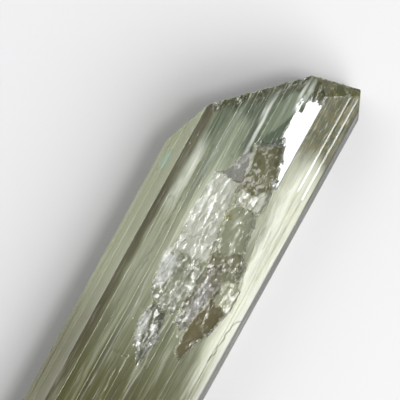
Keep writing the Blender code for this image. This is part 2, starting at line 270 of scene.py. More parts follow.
# The etched hollow. Natural solvents ate terraces into the front face, with steep walls,
# frosted floors, and sharp diamond pits that point along the crystal. Every one is a height
# that the front face is cut down to.
TERRACES = {
    "tip_facet": (
        [
            (1.9, 24.3),
            (1.7, 22.4),
            (1.95, 19.8),
            (2.55, 19.3),
            (2.9, 17.9),
            (3.3, 15.6),
            (5.4, 15.5),
            (5.4, 24.8),
            (3.2, 24.9),
        ],
        (1.7, 20.0, 0.03),
        (0.11, 0.0),
    ),
    "upper_pit": (
        [(0.0, 18.5), (2.6, 19.9), (2.9, 18.4), (3.5, 16.0), (3.4, 14.7), (2.4, 14.0), (0.6, 14.1)],
        (1.6, 16.6, 0.75),
        (-0.15, 0.06),
    ),
    "dark_wedge": (
        [(-2.1, 14.3), (-0.3, 17.7), (1.1, 17.3), (1.0, 14.6)],
        (-2.1, 14.3, 0.03),
        (0.22, -0.12),
    ),
    "frosted_plate": (
        [(-2.0, 14.4), (0.4, 15.2), (0.9, 10.5), (1.5, 6.1), (0.6, 5.2), (-2.1, 5.9), (-2.15, 10.3)],
        (-0.5, 9.0, 0.20),
        (0.02, 0.004),
    ),
    "glint_ledge": (
        [(0.5, 15.0), (1.8, 14.8), (3.6, 15.2), (3.75, 13.5), (3.3, 12.3), (1.5, 12.2), (0.7, 13.4)],
        (2.2, 13.8, 0.42),
        (0.03, 0.03),
    ),
    "smooth_pocket": (
        [
            (1.0, 12.7),
            (3.1, 12.9),
            (3.8, 11.5),
            (4.0, 9.2),
            (3.2, 7.8),
            (1.7, 7.6),
            (1.0, 9.9),
            (0.8, 11.5),
        ],
        (2.4, 10.2, 0.70),
        (-0.05, 0.03),
    ),
    "fracture_step": (
        [(1.3, 8.3), (3.9, 8.9), (4.8, 7.8), (5.1, 6.1), (3.1, 5.4), (1.4, 5.6)],
        (3.0, 7.0, 0.50),
        (-0.06, 0.05),
    ),
    "lumpy_field": (
        [(-2.4, 6.2), (1.6, 6.4), (1.9, 2.4), (0.8, 0.6), (-1.3, 0.9), (-2.2, 2.6)],
        (0.0, 3.0, 0.28),
        (0.03, -0.01),
    ),
    "lower_shelf": (
        [
            (1.3, 6.1),
            (3.4, 6.3),
            (3.9, 4.6),
            (3.7, 2.9),
            (3.1, 0.6),
            (2.2, -0.4),
            (1.3, 0.3),
            (1.2, 3.2),
        ],
        (2.4, 3.0, 0.42),
        (-0.03, 0.02),
    ),
    "side_shelf": (
        [(3.8, 7.7), (4.8, 7.0), (5.4, 5.6), (5.6, 3.6), (5.3, 2.7), (3.5, 3.1), (3.3, 5.6)],
        (4.4, 5.0, 0.24),
        (0.04, 0.0),
    ),
    "olive_pocket": (
        [
            (3.4, 3.7),
            (5.4, 3.2),
            (4.9, 0.8),
            (4.6, 0.0),
            (3.5, -2.8),
            (2.7, -2.0),
            (2.6, -0.1),
            (2.9, 1.8),
        ],
        (3.8, 1.0, 0.55),
        (-0.08, 0.04),
    ),
    "lens_pit": (
        [
            (-1.2, 0.85),
            (0.3, 0.45),
            (0.9, -2.1),
            (0.6, -4.4),
            (0.1, -4.7),
            (-1.0, -3.2),
            (-1.6, -1.3),
        ],
        (-0.4, -2.0, 0.42),
        (0.05, 0.02),
    ),
}
WALL_LEAN = 0.30
TERRACE_PITS = {
    "upper_pit": 8,
    "frosted_plate": 12,
    "glint_ledge": 6,
    "fracture_step": 7,
    "lumpy_field": 18,
    "lower_shelf": 12,
    "side_shelf": 3,
    "lens_pit": 4,
}
PIT_LENGTH = (0.5, 1.5)
PIT_WIDTH = (0.28, 0.60)
PIT_DEPTH = (0.10, 0.24)
TIP_NOTCHES = 12
EDGE_CHIPS = 10
BEVEL_GROOVES = 14
FRONT_GROOVES = 16
GROOVE_LENGTH = (1.4, 4.0)
GROOVE_WIDTH = (0.16, 0.30)
GROOVE_DEPTH = (0.05, 0.10)
PIT_SEED = 25


def paint(red, green, blue):
    """A colour given as it looks on a screen, from 0 to 255, turned into linear light."""
    channels = np.array([red, green, blue]) / 255.0
    return np.where(channels > 0.04045, ((channels + 0.055) / 1.055) ** 2.4, channels / 12.92)


# Each floor: the width and length of its chips, how high they stand, its colour, how cloudy it
# is, and how grainy.
FLOORS = {
    "tip_facet": ((2.0, 6.0), 0.003, paint(170, 176, 160), 0.25, 0.0),
    "upper_pit": ((0.50, 0.60), 0.022, paint(116, 115, 84), 0.78, 0.5),
    "dark_wedge": ((0.60, 0.80), 0.030, paint(88, 89, 72), 0.80, 0.4),
    "frosted_plate": ((0.60, 1.80), 0.022, paint(176, 179, 164), 0.82, 0.3),
    "glint_ledge": ((0.80, 1.10), 0.055, paint(162, 164, 144), 0.75, 0.3),
    "smooth_pocket": ((1.20, 1.30), 0.070, paint(150, 153, 128), 0.78, 0.1),
    "fracture_step": ((0.80, 0.90), 0.080, paint(126, 126, 100), 0.80, 0.5),
    "lumpy_field": ((0.80, 1.10), 0.080, paint(140, 143, 122), 0.80, 0.5),
    "lower_shelf": ((0.70, 1.00), 0.055, paint(120, 119, 100), 0.80, 0.5),
    "side_shelf": ((0.60, 2.00), 0.045, paint(156, 158, 128), 0.75, 0.3),
    "olive_pocket": ((1.30, 1.80), 0.040, paint(112, 106, 76), 0.80, 0.15),
    "lens_pit": ((0.70, 1.60), 0.055, paint(108, 112, 92), 0.72, 0.3),
}
RAGGED = 0.12
# The walls' rim: pale frost, and a painted highlight where their edges catch the light.
FROST_AND_HIGHLIGHT_RIM = paint(192, 195, 180)

# What the etching and the growth left besides: veils and patches of frost; painted among them are a teal
# sheen on the left bevel and a white glint on the ledge. A patch has its outline in (x, y), colour, cover,
# softness, cloudiness and grain.
PATCHES = [
    ([(0.9, 24.6), (1.7, 24.6), (1.75, 22.7), (1.5, 22.0), (1.1, 20.8), (0.5, 19.8), (0.2, 19.1),
      (-0.1, 20.0), (-0.1, 23.0)], paint(142, 154, 130), 0.7, 0.35, 0.72, 0.0),
    ([(1.7, 24.6), (1.9, 23.0), (1.8, 20.6), (1.3, 19.6), (0.6, 18.9), (0.5, 19.6), (1.2, 20.8),
      (1.6, 22.2)], paint(86, 100, 80), 0.6, 0.25, 0.7, 0.0),
    ([(0.35, 18.4), (0.1, 18.2), (0.2, 18.7), (1.1, 19.3), (1.9, 20.0), (2.5, 20.2), (2.6, 19.8),
      (1.6, 19.0)], paint(64, 72, 64), 0.9, 0.12, 0.8, 0.2),
    # A painted sheen: teal on the left bevel.
    ([(-7.1, 13.2), (-6.7, 14.0), (-6.4, 13.4), (-6.4, 12.2), (-6.8, 12.2)],
     paint(134, 172, 146), 0.7, 0.5, 0.8, 0.0),
    ([(-2.5, 5.6), (-1.2, 5.7), (-1.0, 3.6), (-1.6, 2.2), (-2.3, 3.4)],
     paint(186, 188, 184), 0.85, 0.35, 0.95, 0.5),
    ([(-1.4, -0.3), (-0.9, -0.2), (-0.7, -1.8), (-0.5, -3.4), (-1.1, -3.0), (-1.4, -1.6)],
     paint(190, 193, 188), 0.7, 0.3, 0.9, 0.6),
    # A painted glint: a white parallelogram on the ledge.
    ([(2.80, 12.7), (3.30, 13.0), (3.30, 14.7), (2.90, 14.4)],
     paint(214, 216, 200), 0.8, 0.12, 0.85, 0.2),
    ([(1.9, 6.4), (2.6, 6.9), (3.5, 7.1), (3.3, 6.5), (2.4, 6.0), (1.9, 5.9)],
     paint(82, 76, 60), 0.6, 0.2, 0.85, 0.5),
    ([(0.7, 11.6), (1.2, 11.5), (1.7, 11.4), (1.3, 11.1), (0.8, 11.1)],
     paint(124, 116, 56), 0.8, 0.2, 0.85, 0.2),
    ([(2.2, 5.2), (3.1, 4.6), (3.0, 2.0), (2.6, 0.4), (2.1, 0.8), (1.9, 3.4)],
     paint(144, 142, 138), 0.8, 0.35, 0.9, 0.6),
]
# A fibre has its x, where it starts and ends along the crystal, its width and its cover. The short ones are
# painted glints.
FIBRES_AND_GLINTS = [
    (-4.52, 8.5, 17.6, 0.50, 0.55),
    (-4.10, 9.0, 17.0, 0.34, 0.60),
    (-0.45, 16.6, 24.4, 0.24, 1.00),
    (-0.85, 20.0, 23.2, 0.14, 0.70),
    (1.64, 22.0, 27.2, 0.22, 0.90),
    (2.15, 23.6, 27.0, 0.26, 0.90),
    (-2.66, -11.8, 5.6, 0.10, 0.50),
    (-2.20, 5.4, 14.4, 0.12, 0.40),
    (0.78, -10.0, 1.6, 0.12, 0.65),
    (-1.55, 9.2, 14.4, 0.30, 0.60),
    (-1.10, 8.6, 13.0, 0.20, 0.45),
    (-5.35, -4.6, -1.6, 0.08, 0.50),
    (-3.10, 11.0, 18.0, 0.14, 0.30),
    (5.30, 4.0, 19.0, 0.40, 0.45),
    (5.95, -5.0, 13.0, 0.26, 0.45),
    # Painted glints: short white streaks in the smooth pocket and on the ledge.
    (2.05, 10.3, 11.9, 0.22, 0.95),
    (2.70, 9.5, 10.8, 0.18, 0.90),
    (2.75, 8.6, 9.8, 0.16, 0.90),
    (2.95, 7.9, 9.2, 0.18, 0.90),
    (1.25, 12.9, 14.9, 0.16, 0.70),
]
# A crack has the points that it runs through, its width and its cover.
CRACKS = [
    ([(-3.70, 3.5), (-3.74, 9.0), (-3.70, 14.6)], 0.09, 0.55),
    ([(-3.50, 12.5), (-3.56, 17.0)], 0.12, 0.30),
    ([(5.42, 10.2), (5.40, 12.0)], 0.07, 0.55),
    ([(0.62, 13.5), (0.66, 14.5)], 0.20, 0.70),
    ([(6.90, 3.2), (6.55, 2.9), (6.30, 1.9), (6.22, 0.2), (6.05, -1.6)], 0.10, 0.70),
    ([(-2.1, 7.9), (-1.0, 8.0), (-0.2, 8.7), (0.5, 9.0)], 0.10, 0.45),
    ([(-1.9, 6.2), (-0.9, 6.5), (0.2, 6.1), (1.2, 6.6)], 0.10, 0.35),
    ([(1.0, 12.6), (0.9, 10.4), (1.3, 8.0), (1.5, 6.2)], 0.09, 0.55),
    ([(4.1, 7.8), (4.9, 7.2), (5.5, 5.8), (5.7, 3.6)], 0.08, 0.35),
    ([(-0.9, 0.7), (0.2, -0.4), (0.5, -0.9)], 0.08, 0.45),
    ([(0.1, 0.4), (-0.3, -0.6), (-0.6, -1.2)], 0.08, 0.45),
]
FIBRE_AND_GLINT_PAINT = (paint(228, 232, 224), 0.95, 0.0)
CRACK_PAINT = (paint(78, 76, 56), 0.95, 0.0)
FIBRE_AND_GLINT_END = 2.4


def chips(x, y, size, seed):
    """A broken surface from about -1 to 1: the plane is split into cells, each a tilted facet.

    A point belongs to the nearest of the sites scattered one to a lattice square, and takes
    that site's height plus its tilt times the distance from it.
    """
    tables = np.random.default_rng(seed).uniform(-1.0, 1.0, (5, 128, 128))
    px, py = x / size[0] + 32.0, y / size[1] + 32.0
    ix, iy = np.floor(px).astype(int), np.floor(py).astype(int)
    nearest = np.full(x.shape, np.inf)
    height = np.zeros(x.shape)
    for dx in (-1, 0, 1):
        for dy in (-1, 0, 1):
            cx, cy = (ix + dx) % 128, (iy + dy) % 128
            across = px - (ix + dx + 0.5 + 0.45 * tables[0, cx, cy])
            along = py - (iy + dy + 0.5 + 0.45 * tables[1, cx, cy])
            distance = across * across + along * along
            facet = 0.5 * tables[2, cx, cy] + 0.9 * (tables[3, cx, cy] * across + tables[4, cx, cy] * along)
            height = np.where(distance < nearest, facet, height)
            nearest = np.minimum(nearest, distance)
    return height


def edge_distance(x, y, start, end):
    """The distance from (x, y) to the straight edge between two points."""
    run_x, run_y = end[0] - start[0], end[1] - start[1]
    along = ((x - start[0]) * run_x + (y - start[1]) * run_y) / (run_x * run_x + run_y * run_y)
    along = np.clip(along, 0.0, 1.0)
    return np.hypot(x - start[0] - along * run_x, y - start[1] - along * run_y)


def inside_distance(x, y, outline):
    """The distance from (x, y) to an outline: positive inside, negative outside.

    It is the least distance to any edge, and its sign turns with each edge crossed to the left.
    """
    distance = np.full(x.shape, np.inf)
    inside = np.zeros(x.shape, bool)
    for start, end in zip(outline, outline[1:] + outline[:1]):
        distance = np.minimum(distance, edge_distance(x, y, start, end))
        rise = end[1] - start[1]
        crosses = (start[1] > y) != (end[1] > y)
        inside ^= crosses & (x < start[0] + (end[0] - start[0]) * (y - start[1]) / (rise or 1.0))
    return np.where(inside, distance, -distance)


def terrace_depth(name, x, y):
    """How deep a terrace's floor lies under the front face at (x, y)."""
    _, (x0, y0, depth), (x_slope, y_slope) = TERRACES[name]
    return np.maximum(0.02, depth + x_slope * (x - x0) + y_slope * (y - y0))


def front_height(x, y):
    """The height of the crystal's upper faces at (x, y), before anything is cut in them."""
    left = THICKNESS - LEFT_BEVEL[1] * (1 - (x + WIDTH / 2) / LEFT_BEVEL[0])
    edge = np.interp(y, (BEVEL_EDGE_BODY[0], BEVEL_EDGE_TIP[0]), (BEVEL_EDGE_BODY[1], BEVEL_EDGE_TIP[1]))
    right = THICKNESS - RIGHT_BEVEL_SLOPE * (x - edge)
    return np.minimum(THICKNESS, np.minimum(left, right))


def scatter_pits():
    """Every etch pit, as (x, y, z, length, width, depth, turn): of the top, of the edges, grooves."""
    rng = random.Random(PIT_SEED)

    def new_pit(x, y, z, ranges=(PIT_LENGTH, PIT_WIDTH, PIT_DEPTH), turn=0.2):
        return (x, y, float(z), *(rng.uniform(*limits) for limits in ranges), rng.uniform(-turn, turn))

    top = []
    for name, count in TERRACE_PITS.items():
        outline = TERRACES[name][0]
        centre = sum((Vector(corner) for corner in outline), Vector((0, 0))) / len(outline)
        for _ in range(count):
            x, y = centre.lerp(Vector(rng.choice(outline)), rng.uniform(0.1, 0.8))
            top.append(new_pit(x, y, THICKNESS - terrace_depth(name, x, y)))
    for i in range(TIP_NOTCHES):
        x = -5.4 + 7.0 * (i + rng.uniform(0.1, 0.9)) / TIP_NOTCHES
        top.append(new_pit(x, 19.2 + (x + 5.6), THICKNESS - 0.1))
    edges = []
    for i in range(EDGE_CHIPS):
        hand = rng.choice((-1, 1))
        y = -26.0 + 38.0 * (i + rng.uniform(0.1, 0.9)) / EDGE_CHIPS
        edges.append(new_pit(hand * (WIDTH / 2 - 0.1), y, rng.uniform(3.0, 5.5)))
    grooves = []
    ranges = (GROOVE_LENGTH, GROOVE_WIDTH, GROOVE_DEPTH)
    for _ in range(BEVEL_GROOVES):
        y = rng.uniform(9.0, 24.0)
        x = rng.uniform(section(np.array([y]))[0][2, 0] + 0.3, 6.3)
        grooves.append(new_pit(x, y, front_height(x, y), ranges, 0.02))
    for _ in range(FRONT_GROOVES):
        x, y = rng.uniform(-2.5, 4.2), rng.uniform(-12.0, -4.0)
        top.append(new_pit(x, y, THICKNESS, ranges, 0.06))
    return top, edges, grooves


top_pits, edge_chips, bevel_grooves = scatter_pits()


def diamond(across, along, pit):
    """A pit's shape: 0 at its bottom, 0.5 where it meets the face, rising evenly to both sides."""
    _, _, _, length, width, _, turn = pit
    c, s = math.cos(turn), math.sin(turn)
    return np.abs(c * across + s * along) / width + np.abs(c * along - s * across) / length


def lay_over(finish, share, colour, cloudy, grainy):
    """Lays a finish over another by a share: it covers a bare place, and blends with an etched one."""
    cover = np.maximum(finish[..., 3], share)
    weight = (share / np.maximum(cover, 1e-6))[..., None]
    laid = finish * (1 - weight) + np.array([*colour, 1.0, cloudy, grainy]) * weight
    laid[..., 3] = cover
    return laid


def fibre_and_glint_share(x, y, fibre):
    """How far (x, y) lies in a fibre, a short one being a painted glint: full along its middle, fading to
    its sides and ends.
    """
    centre, start, end, width, cover = fibre
    bend = centre + 0.12 * wander(y, np.zeros_like(y), 2.5, int(centre * 100) + 900)
    across = np.clip(1.4 - 1.4 * np.abs(x - bend) / width, 0.0, 1.0)
    fade = min(FIBRE_AND_GLINT_END, (end - start) / 2)
    along = np.clip((y - start) / fade, 0.0, 1.0) * np.clip((end - y) / fade, 0.0, 1.0)
    uneven = 0.7 + 0.3 * wander(x * 4.0, y, 0.8, int(start * 10) + 700)
    return cover * across * along * uneven


def crack_share(x, y, crack):
    """How far (x, y) lies in a crack: full on its line, which wanders a little, fading to its sides."""
    points, width, cover = crack
    x, y = x + 0.10 * wander(x, y, 0.5, 81), y + 0.10 * wander(x, y, 0.5, 82)
    distance = np.min([edge_distance(x, y, *ends) for ends in zip(points, points[1:])], axis=0)
    return cover * np.clip(1.6 - 1.6 * distance / width, 0.0, 1.0)


def cut_height(x, y, z):
    """The height down to which the top is cut away at (x, y), and the finish of the surface at z.

    The height is the lowest of the tip's top bevel, the terraces' walls and floors, and the
    pits. The finish is three colour channels, how much they cover, cloudiness and grain.
    """
    place, normal = TOP_BEVEL
    height = place[2] + (normal[0] * (place[0] - x) + normal[1] * (place[1] - y)) / normal[2]
    finish = np.zeros((*x.shape, 6))
    for seed, (name, (outline, _, _)) in enumerate(TERRACES.items()):
        chip, rough, colour, cloudy, grainy = FLOORS[name]
        ragged = RAGGED * (wander(x, y, 0.5, seed) + 0.6 * wander(x, y, 0.22, seed + 20))
        if name == "tip_facet":
            ragged = np.where(x < 3.4, 2.0 * ragged + 0.25 * wander(x * 2.0, y, 0.35, 33), 0.0)
        edge = inside_distance(x, y, outline) + ragged
        small = (chip[0] / 2, chip[1] / 2)
        relief = chips(x, y, chip, seed + 40) + 0.5 * chips(x, y, small, seed + 60)
        floor = np.maximum(0.01, terrace_depth(name, x, y) + rough * relief)
        depth = np.clip(edge / WALL_LEAN, 0.0, floor)
        deeper = (THICKNESS - depth < np.minimum(height, z)) & (edge > 0)
        wall = (edge < WALL_LEAN * floor) & (name != "tip_facet")
        height = np.where(deeper, THICKNESS - depth, height)
        finish = lay_over(finish, np.where(deeper, 1.0, 0.0), colour, cloudy, grainy)
        # Each wall is half covered by the rim: pale frost with a painted highlight.
        finish = lay_over(finish, np.where(deeper & wall, 0.5, 0.0), FROST_AND_HIGHLIGHT_RIM, 0.9, 0.2)
    for pit in top_pits:
        near = diamond(x - pit[0], y - pit[1], pit)
        height = np.where(near < 1.0, np.minimum(height, pit[2] - pit[5] * (1 - 2 * near)), height)
    for groove in bevel_grooves:
        slant = math.hypot(1.0, RIGHT_BEVEL_SLOPE)
        near = diamond((x - groove[0]) * slant, y - groove[1], groove)
        floor = front_height(x, y) - groove[5] * slant * (1 - 2 * near)
        height = np.where(near < 1.0, np.minimum(height, floor), height)
    for number, (outline, colour, cover, soft, cloudy, grainy) in enumerate(PATCHES):
        ragged = 0.5 * soft * wander(x, y, 0.3, number + 500)
        share = cover * np.clip(0.5 + (inside_distance(x, y, outline) + ragged) / soft, 0.0, 1.0)
        finish = lay_over(finish, share, colour, cloudy, grainy)
    # Silky fibres, and the short painted glints, laid on in white.
    for fibre in FIBRES_AND_GLINTS:
        finish = lay_over(finish, fibre_and_glint_share(x, y, fibre), *FIBRE_AND_GLINT_PAINT)
    for crack in CRACKS:
        finish = lay_over(finish, crack_share(x, y, crack), *CRACK_PAINT)
    return height, finish


# The broken end. The crystal snapped from its matrix into splinters that are bounded by its
# two cleavages, at 45 degrees to the broad face, and each ends at its own length.
SPLINTER = 2.3
BREAK_DEPTH = (0.6, 4.6)
BREAK_TILT = 0.45
LONGEST_SPLINTER = (4, 3)
BREAK_SEED = 37


def splinter_plan():
    """The splinters: the edges across each cleavage, and each one's end depth and two tilts."""
    rng = random.Random(BREAK_SEED)
    reach = (WIDTH + 2 * THICKNESS) / 2 / math.sqrt(2) + SPLINTER
    cells = math.ceil(2 * reach / SPLINTER)
    edges = []
    for centre in (THICKNESS / 2 / math.sqrt(2), -THICKNESS / 2 / math.sqrt(2)):
        edges.append([centre - reach + SPLINTER * (i + rng.uniform(-0.35, 0.35)) for i in range(cells + 1)])
    ends = np.zeros((cells, cells, 3))
    for i in range(cells):
        for j in range(cells):
            ends[i, j] = (rng.uniform(*BREAK_DEPTH), rng.uniform(-1, 1), rng.uniform(-1, 1))
    ends[LONGEST_SPLINTER] = (-1.0, 0.0, 0.0)
    return np.array(edges), ends


splinter_edges, splinter_ends = splinter_plan()


def broken_end(x, z):
    """The y at which the crystal starts at (x, z): its splinter's end, tilted along both cleavages."""
    p, q = (x + z) / math.sqrt(2), (x - z) / math.sqrt(2)
    cells = splinter_ends.shape[0]
    i = np.clip(np.searchsorted(splinter_edges[0], p) - 1, 0, cells - 1)
    j = np.clip(np.searchsorted(splinter_edges[1], q) - 1, 0, cells - 1)
    share_p = (p - splinter_edges[0][i]) / (splinter_edges[0][i + 1] - splinter_edges[0][i]) - 0.5
    share_q = (q - splinter_edges[1][j]) / (splinter_edges[1][j + 1] - splinter_edges[1][j]) - 0.5
    depth, p_tilt, q_tilt = np.moveaxis(splinter_ends[i, j], -1, 0)
    tilt = BREAK_TILT * SPLINTER * (p_tilt * share_p + q_tilt * share_q)
    return np.maximum(-LENGTH / 2, -LENGTH / 2 + depth + tilt)


# The crystal's whole surface: rows of points along every column, from the broken end to the
# tip, closed at both ends by rings that shrink to the middle of the section. The rows stand
# closest over the etched hollow.
ROWS = 262
ROW_DENSITY = ((-28.0, 0.35), (-6.0, 0.5), (-4.0, 1.0), (19.5, 1.0), (21.0, 0.7), (28.0, 0.7))
TIP_RINGS = 22
BREAK_RINGS = 44
TIP_STEP = 0.22


def row_shares():
    """How far along the crystal each row stands, from 0 to 1: closer where the density is higher."""
    places, weights = np.array(ROW_DENSITY).T
    fine = np.linspace(places[0], places[-1], 2000)
    total = np.cumsum(np.interp(fine, places, weights))
    return np.interp(np.linspace(0, 1, ROWS), (total - total[0]) / (total[-1] - total[0]),
                     (fine - fine[0]) / (fine[-1] - fine[0]))


def crystal_surface():
    """Points of the side surface as arrays (columns, rows), with the finish at each point.

    Each column runs from the broken end to the tip. Its points lie on the plain prism, moved
    in by the laths and lines, and then down to the cut height.
    """
    ends_x, ends_z = prism_surface(np.full((len(side), 1), LENGTH / 2))[:2]
    start = broken_end(ends_x, ends_z)
    stop = tip_end(ends_x, ends_z)
    steps = np.random.default_rng(8).uniform(0.0, TIP_STEP, (len(side), 1))
    steps = np.where(np.isin(side, TOP_SIDES)[:, None], np.repeat(steps[::3], 3, 0)[: len(side)], 0.0)
    for _ in range(2):
        y = start + (stop - steps - start) * row_shares()[None, :]
        x, z, in_x, in_z = prism_surface(y)
        inward = lath_depth(y) + line_depth(y)
        for chip in edge_chips:
            beside = np.where(np.sign(chip[0]) == np.sign(x), z - chip[2], 99.0)
            near = diamond(beside, y - chip[1], chip)
            inward = np.maximum(inward, 1.2 * chip[5] * (1 - 2 * near))
        x, z = x + inward * in_x, z + inward * in_z
        upper = np.isin(side, TOP_SIDES)[:, None]
        cut, finish = cut_height(x, y, z)
        z = np.where(upper, np.minimum(z, cut), z)
        stop = tip_end(x[:, -1:], z[:, -1:])
    return np.stack([x, y, z], -1), np.where(upper[..., None], finish, 0.0)


def end_rings(rim, rings, end):
    """Rings from the rim in to the middle of the section, and the middle point itself.

    A ring is the rim shrunk towards the middle, and lies where the end surface is at its (x, z).
    """
    middle = rim.mean(0)
    shrink = np.linspace(1, 0, rings + 1)[1:-1, None, None]
    points = middle + shrink * (rim - middle)
    points[..., 1] = end(points[..., 0], points[..., 2])
    middle[1] = end(middle[0], middle[2])
    return points, middle


def tip_surface(x, z):
    """The tip's end faces, finely stepped where they are etched."""
    return tip_end(x, z) - 0.07 * (1 + chips(x + z, z, (0.5, 0.9), 70))


def make_crystal():
    """Joins the side surface and both ends into one closed mesh of four-sided faces."""
    surface, finish = crystal_surface()
    columns, rows = surface.shape[:2]
    tip_points, tip_middle = end_rings(surface[:, -1].copy(), TIP_RINGS, tip_surface)
    break_points, break_middle = end_rings(surface[:, 0].copy(), BREAK_RINGS, broken_end)
    points = np.concatenate([
        surface.transpose(1, 0, 2).reshape(-1, 3),
        tip_points.reshape(-1, 3),
        tip_middle[None],
        break_points.reshape(-1, 3),
        break_middle[None],
    ])
    tip_start = rows * columns
    break_start = tip_start + len(tip_points) * columns + 1
    rings = np.arange(rows * columns).reshape(rows, columns)
    tip_rings = tip_start + np.arange(len(tip_points) * columns).reshape(-1, columns)
    break_rings = break_start + np.arange(len(break_points) * columns).reshape(-1, columns)
    strips = np.concatenate([break_rings[::-1], rings, tip_rings])
    here, there = strips[:-1], strips[1:]
    quads = np.stack([here, there, np.roll(there, -1, 1), np.roll(here, -1, 1)], -1).reshape(-1, 4)
    ends = []
    for ring, centre, order in ((strips[-1], break_start - 1, 1), (strips[0], len(points) - 1, -1)):
        fan = np.stack([ring, np.full(columns, centre), np.roll(ring, -1)][::order], -1)
        ends += fan.tolist()
    mesh = bpy.data.meshes.new("crystal")
    mesh.from_pydata((points * MM).tolist(), [], quads.tolist() + ends)
    whole = np.zeros((len(points), 6))
    whole[: rows * columns] = finish.transpose(1, 0, 2).reshape(-1, 6)
    # The finish goes on as point colours: frost, fibres and cracks, and the painted glints, sheen and rim
    # highlights.
    attribute = mesh.attributes.new("etched", "FLOAT_COLOR", "POINT")
    attribute.data.foreach_set("color", whole[:, :4].astype(np.float32).ravel())
    for name, values in (("cloudy", whole[:, 4]), ("grainy", whole[:, 5])):
        attribute = mesh.attributes.new(name, "FLOAT", "POINT")
        attribute.data.foreach_set("value", values.astype(np.float32))
    mesh.shade_smooth()
    mesh.set_sharp_from_angle(angle=math.radians(24))
    mesh.validate()
    crystal = bpy.data.objects.new("crystal", mesh)
    bpy.context.scene.collection.objects.link(crystal)
    return crystal


crystal = make_crystal()
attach(crystal, "root")
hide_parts("hiddenite_crystal")


# The finish. Hiddenite is clear, pale yellow-green and glassy. This one is silky along its length, in zones
# of olive and grey-green, and frosted white where it is etched. Down the right bevel a cream glow is
# painted light, and dark olive, brown and grey bands at the main slope, the tip, beside the left bevel and
# on the right side are painted shade.
IOR = 1.66
CLEAR = (0.97, 0.98, 0.92, 1.0)
DEPTH_TINT = (0.52, 0.58, 0.26, 1.0)
DEPTH_DENSITY = 150.0


def opaque(red, green, blue):
    """The paint of these screen values as a colour for a socket."""
    return (*paint(red, green, blue).tolist(), 1.0)


OLIVE = opaque(100, 101, 64)
GREY_GREEN = opaque(158, 163, 138)
SOFT_GREEN = opaque(92, 103, 80)
MIST_GREEN = opaque(146, 155, 132)
YELLOW_GREEN = opaque(156, 162, 126)
OLIVE_GREEN = opaque(106, 106, 66)
# Painted shade, brown-olive, for the band beside the left bevel.
SHADE_BROWN_OLIVE = opaque(84, 80, 56)
PALE_GREEN = opaque(160, 164, 140)
# A painted glow, cream, for the right bevel.
GLOW_CREAM = opaque(212, 214, 194)
# Painted shade, dark olive, for the main slope and the tip.
SHADE_OLIVE = opaque(70, 73, 40)
# Painted shade, brown, for the tip.
TIP_SHADE_BROWN = opaque(92, 88, 48)
# Painted shade, dark grey, for the steep right side.
SIDE_SHADE_GREY = opaque(56, 58, 44)
FLECK = opaque(196, 198, 172)
PALE_LINE = opaque(225, 228, 214)
DARK_LINE = opaque(56, 56, 34)
# Pale frost grain, its brightest cells painted glints.
GRAIN_AND_GLINT_WHITE = opaque(244, 245, 240)
DARK_GRAIN = opaque(70, 68, 52)
SHADOW_TINT = (0.62, 0.68, 0.45, 1.0)


class Signal:
    """A value, colour or vector of a material, for use in Python expressions."""

    def __init__(self, tree, socket=None):
        self.tree = tree
        self.socket = socket

    def node(self, kind, settings=None, inputs=None, outlet=0):
        """Adds a node: its settings first, then a value or a link for each of its sockets."""
        node = self.tree.nodes.new(kind)
        for name, value in (settings or {}).items():
            setattr(node, name, value)
        for name, value in (inputs or {}).items():
            if isinstance(value, Signal):
                self.tree.links.new(value.socket, node.inputs[name])
            else:
                node.inputs[name].default_value = value
        return Signal(self.tree, node.outputs[outlet] if node.outputs else None)

    def math(self, operation, first, second):
        """A Math node on two values."""
        return self.node("ShaderNodeMath", {"operation": operation}, {0: first, 1: second})

    def __add__(self, other):
        return self.math("ADD", self, other)

    def __radd__(self, other):
        return self.math("ADD", other, self)

    def __sub__(self, other):
        return self.math("SUBTRACT", self, other)

    def __rsub__(self, other):
        return self.math("SUBTRACT", other, self)

    def __mul__(self, other):
        return self.math("MULTIPLY", self, other)

    def __rmul__(self, other):
        return self.math("MULTIPLY", other, self)

    def above(self, low, high):
        """Rises smoothly from 0 at low to 1 at high."""
        settings = {"interpolation_type": "SMOOTHSTEP"}
        return self.node("ShaderNodeMapRange", settings, {"Value": self, "From Min": low, "From Max": high})

    def within(self, low, high, soft):
        """1 between low and high, falling smoothly to 0 over the soft width outside."""
        return self.above(low - soft, low) * (1 - self.above(high, high + soft))

    def greatest(self, other):
        """The greater of two values."""
        return self.math("MAXIMUM", self, other)

    def noise(self, scale, detail, roughness=0.6, stretch=(1.0, 1.0, 1.0)):
        """Cloudy noise around 0.5 at this place, at a scale per millimetre, stretched if asked."""
        place = self.node("ShaderNodeMapping", {}, {"Vector": self, "Scale": stretch})
        inputs = {"Vector": place, "Scale": scale, "Detail": detail, "Roughness": roughness}
        return self.node("ShaderNodeTexNoise", {}, inputs)

    def cells(self, scale, stretch=(1.0, 1.0, 1.0)):
        """Small flat chips at a scale per millimetre, each with its own value from 0 to 1."""
        place = self.node("ShaderNodeMapping", {}, {"Vector": self, "Scale": stretch})
        colour = self.node("ShaderNodeTexVoronoi", {}, {"Vector": place, "Scale": scale}, outlet=1)
        return self.node("ShaderNodeSeparateColor", {}, {0: colour})

    def blend(self, first, second, mode="MIX"):
        """Takes this value as the share of the second colour in the first."""
        inputs = {0: self, 6: first, 7: second}
        return self.node("ShaderNodeMix", {"data_type": "RGBA", "blend_type": mode}, inputs, outlet=2)


def new_material(name):
    """An empty material, its output node, and a Signal to build from."""
    material = bpy.data.materials.new(name)
    material.use_nodes = True
    tree = material.node_tree
    tree.nodes.clear()
    return material, tree.nodes.new("ShaderNodeOutputMaterial"), Signal(tree)


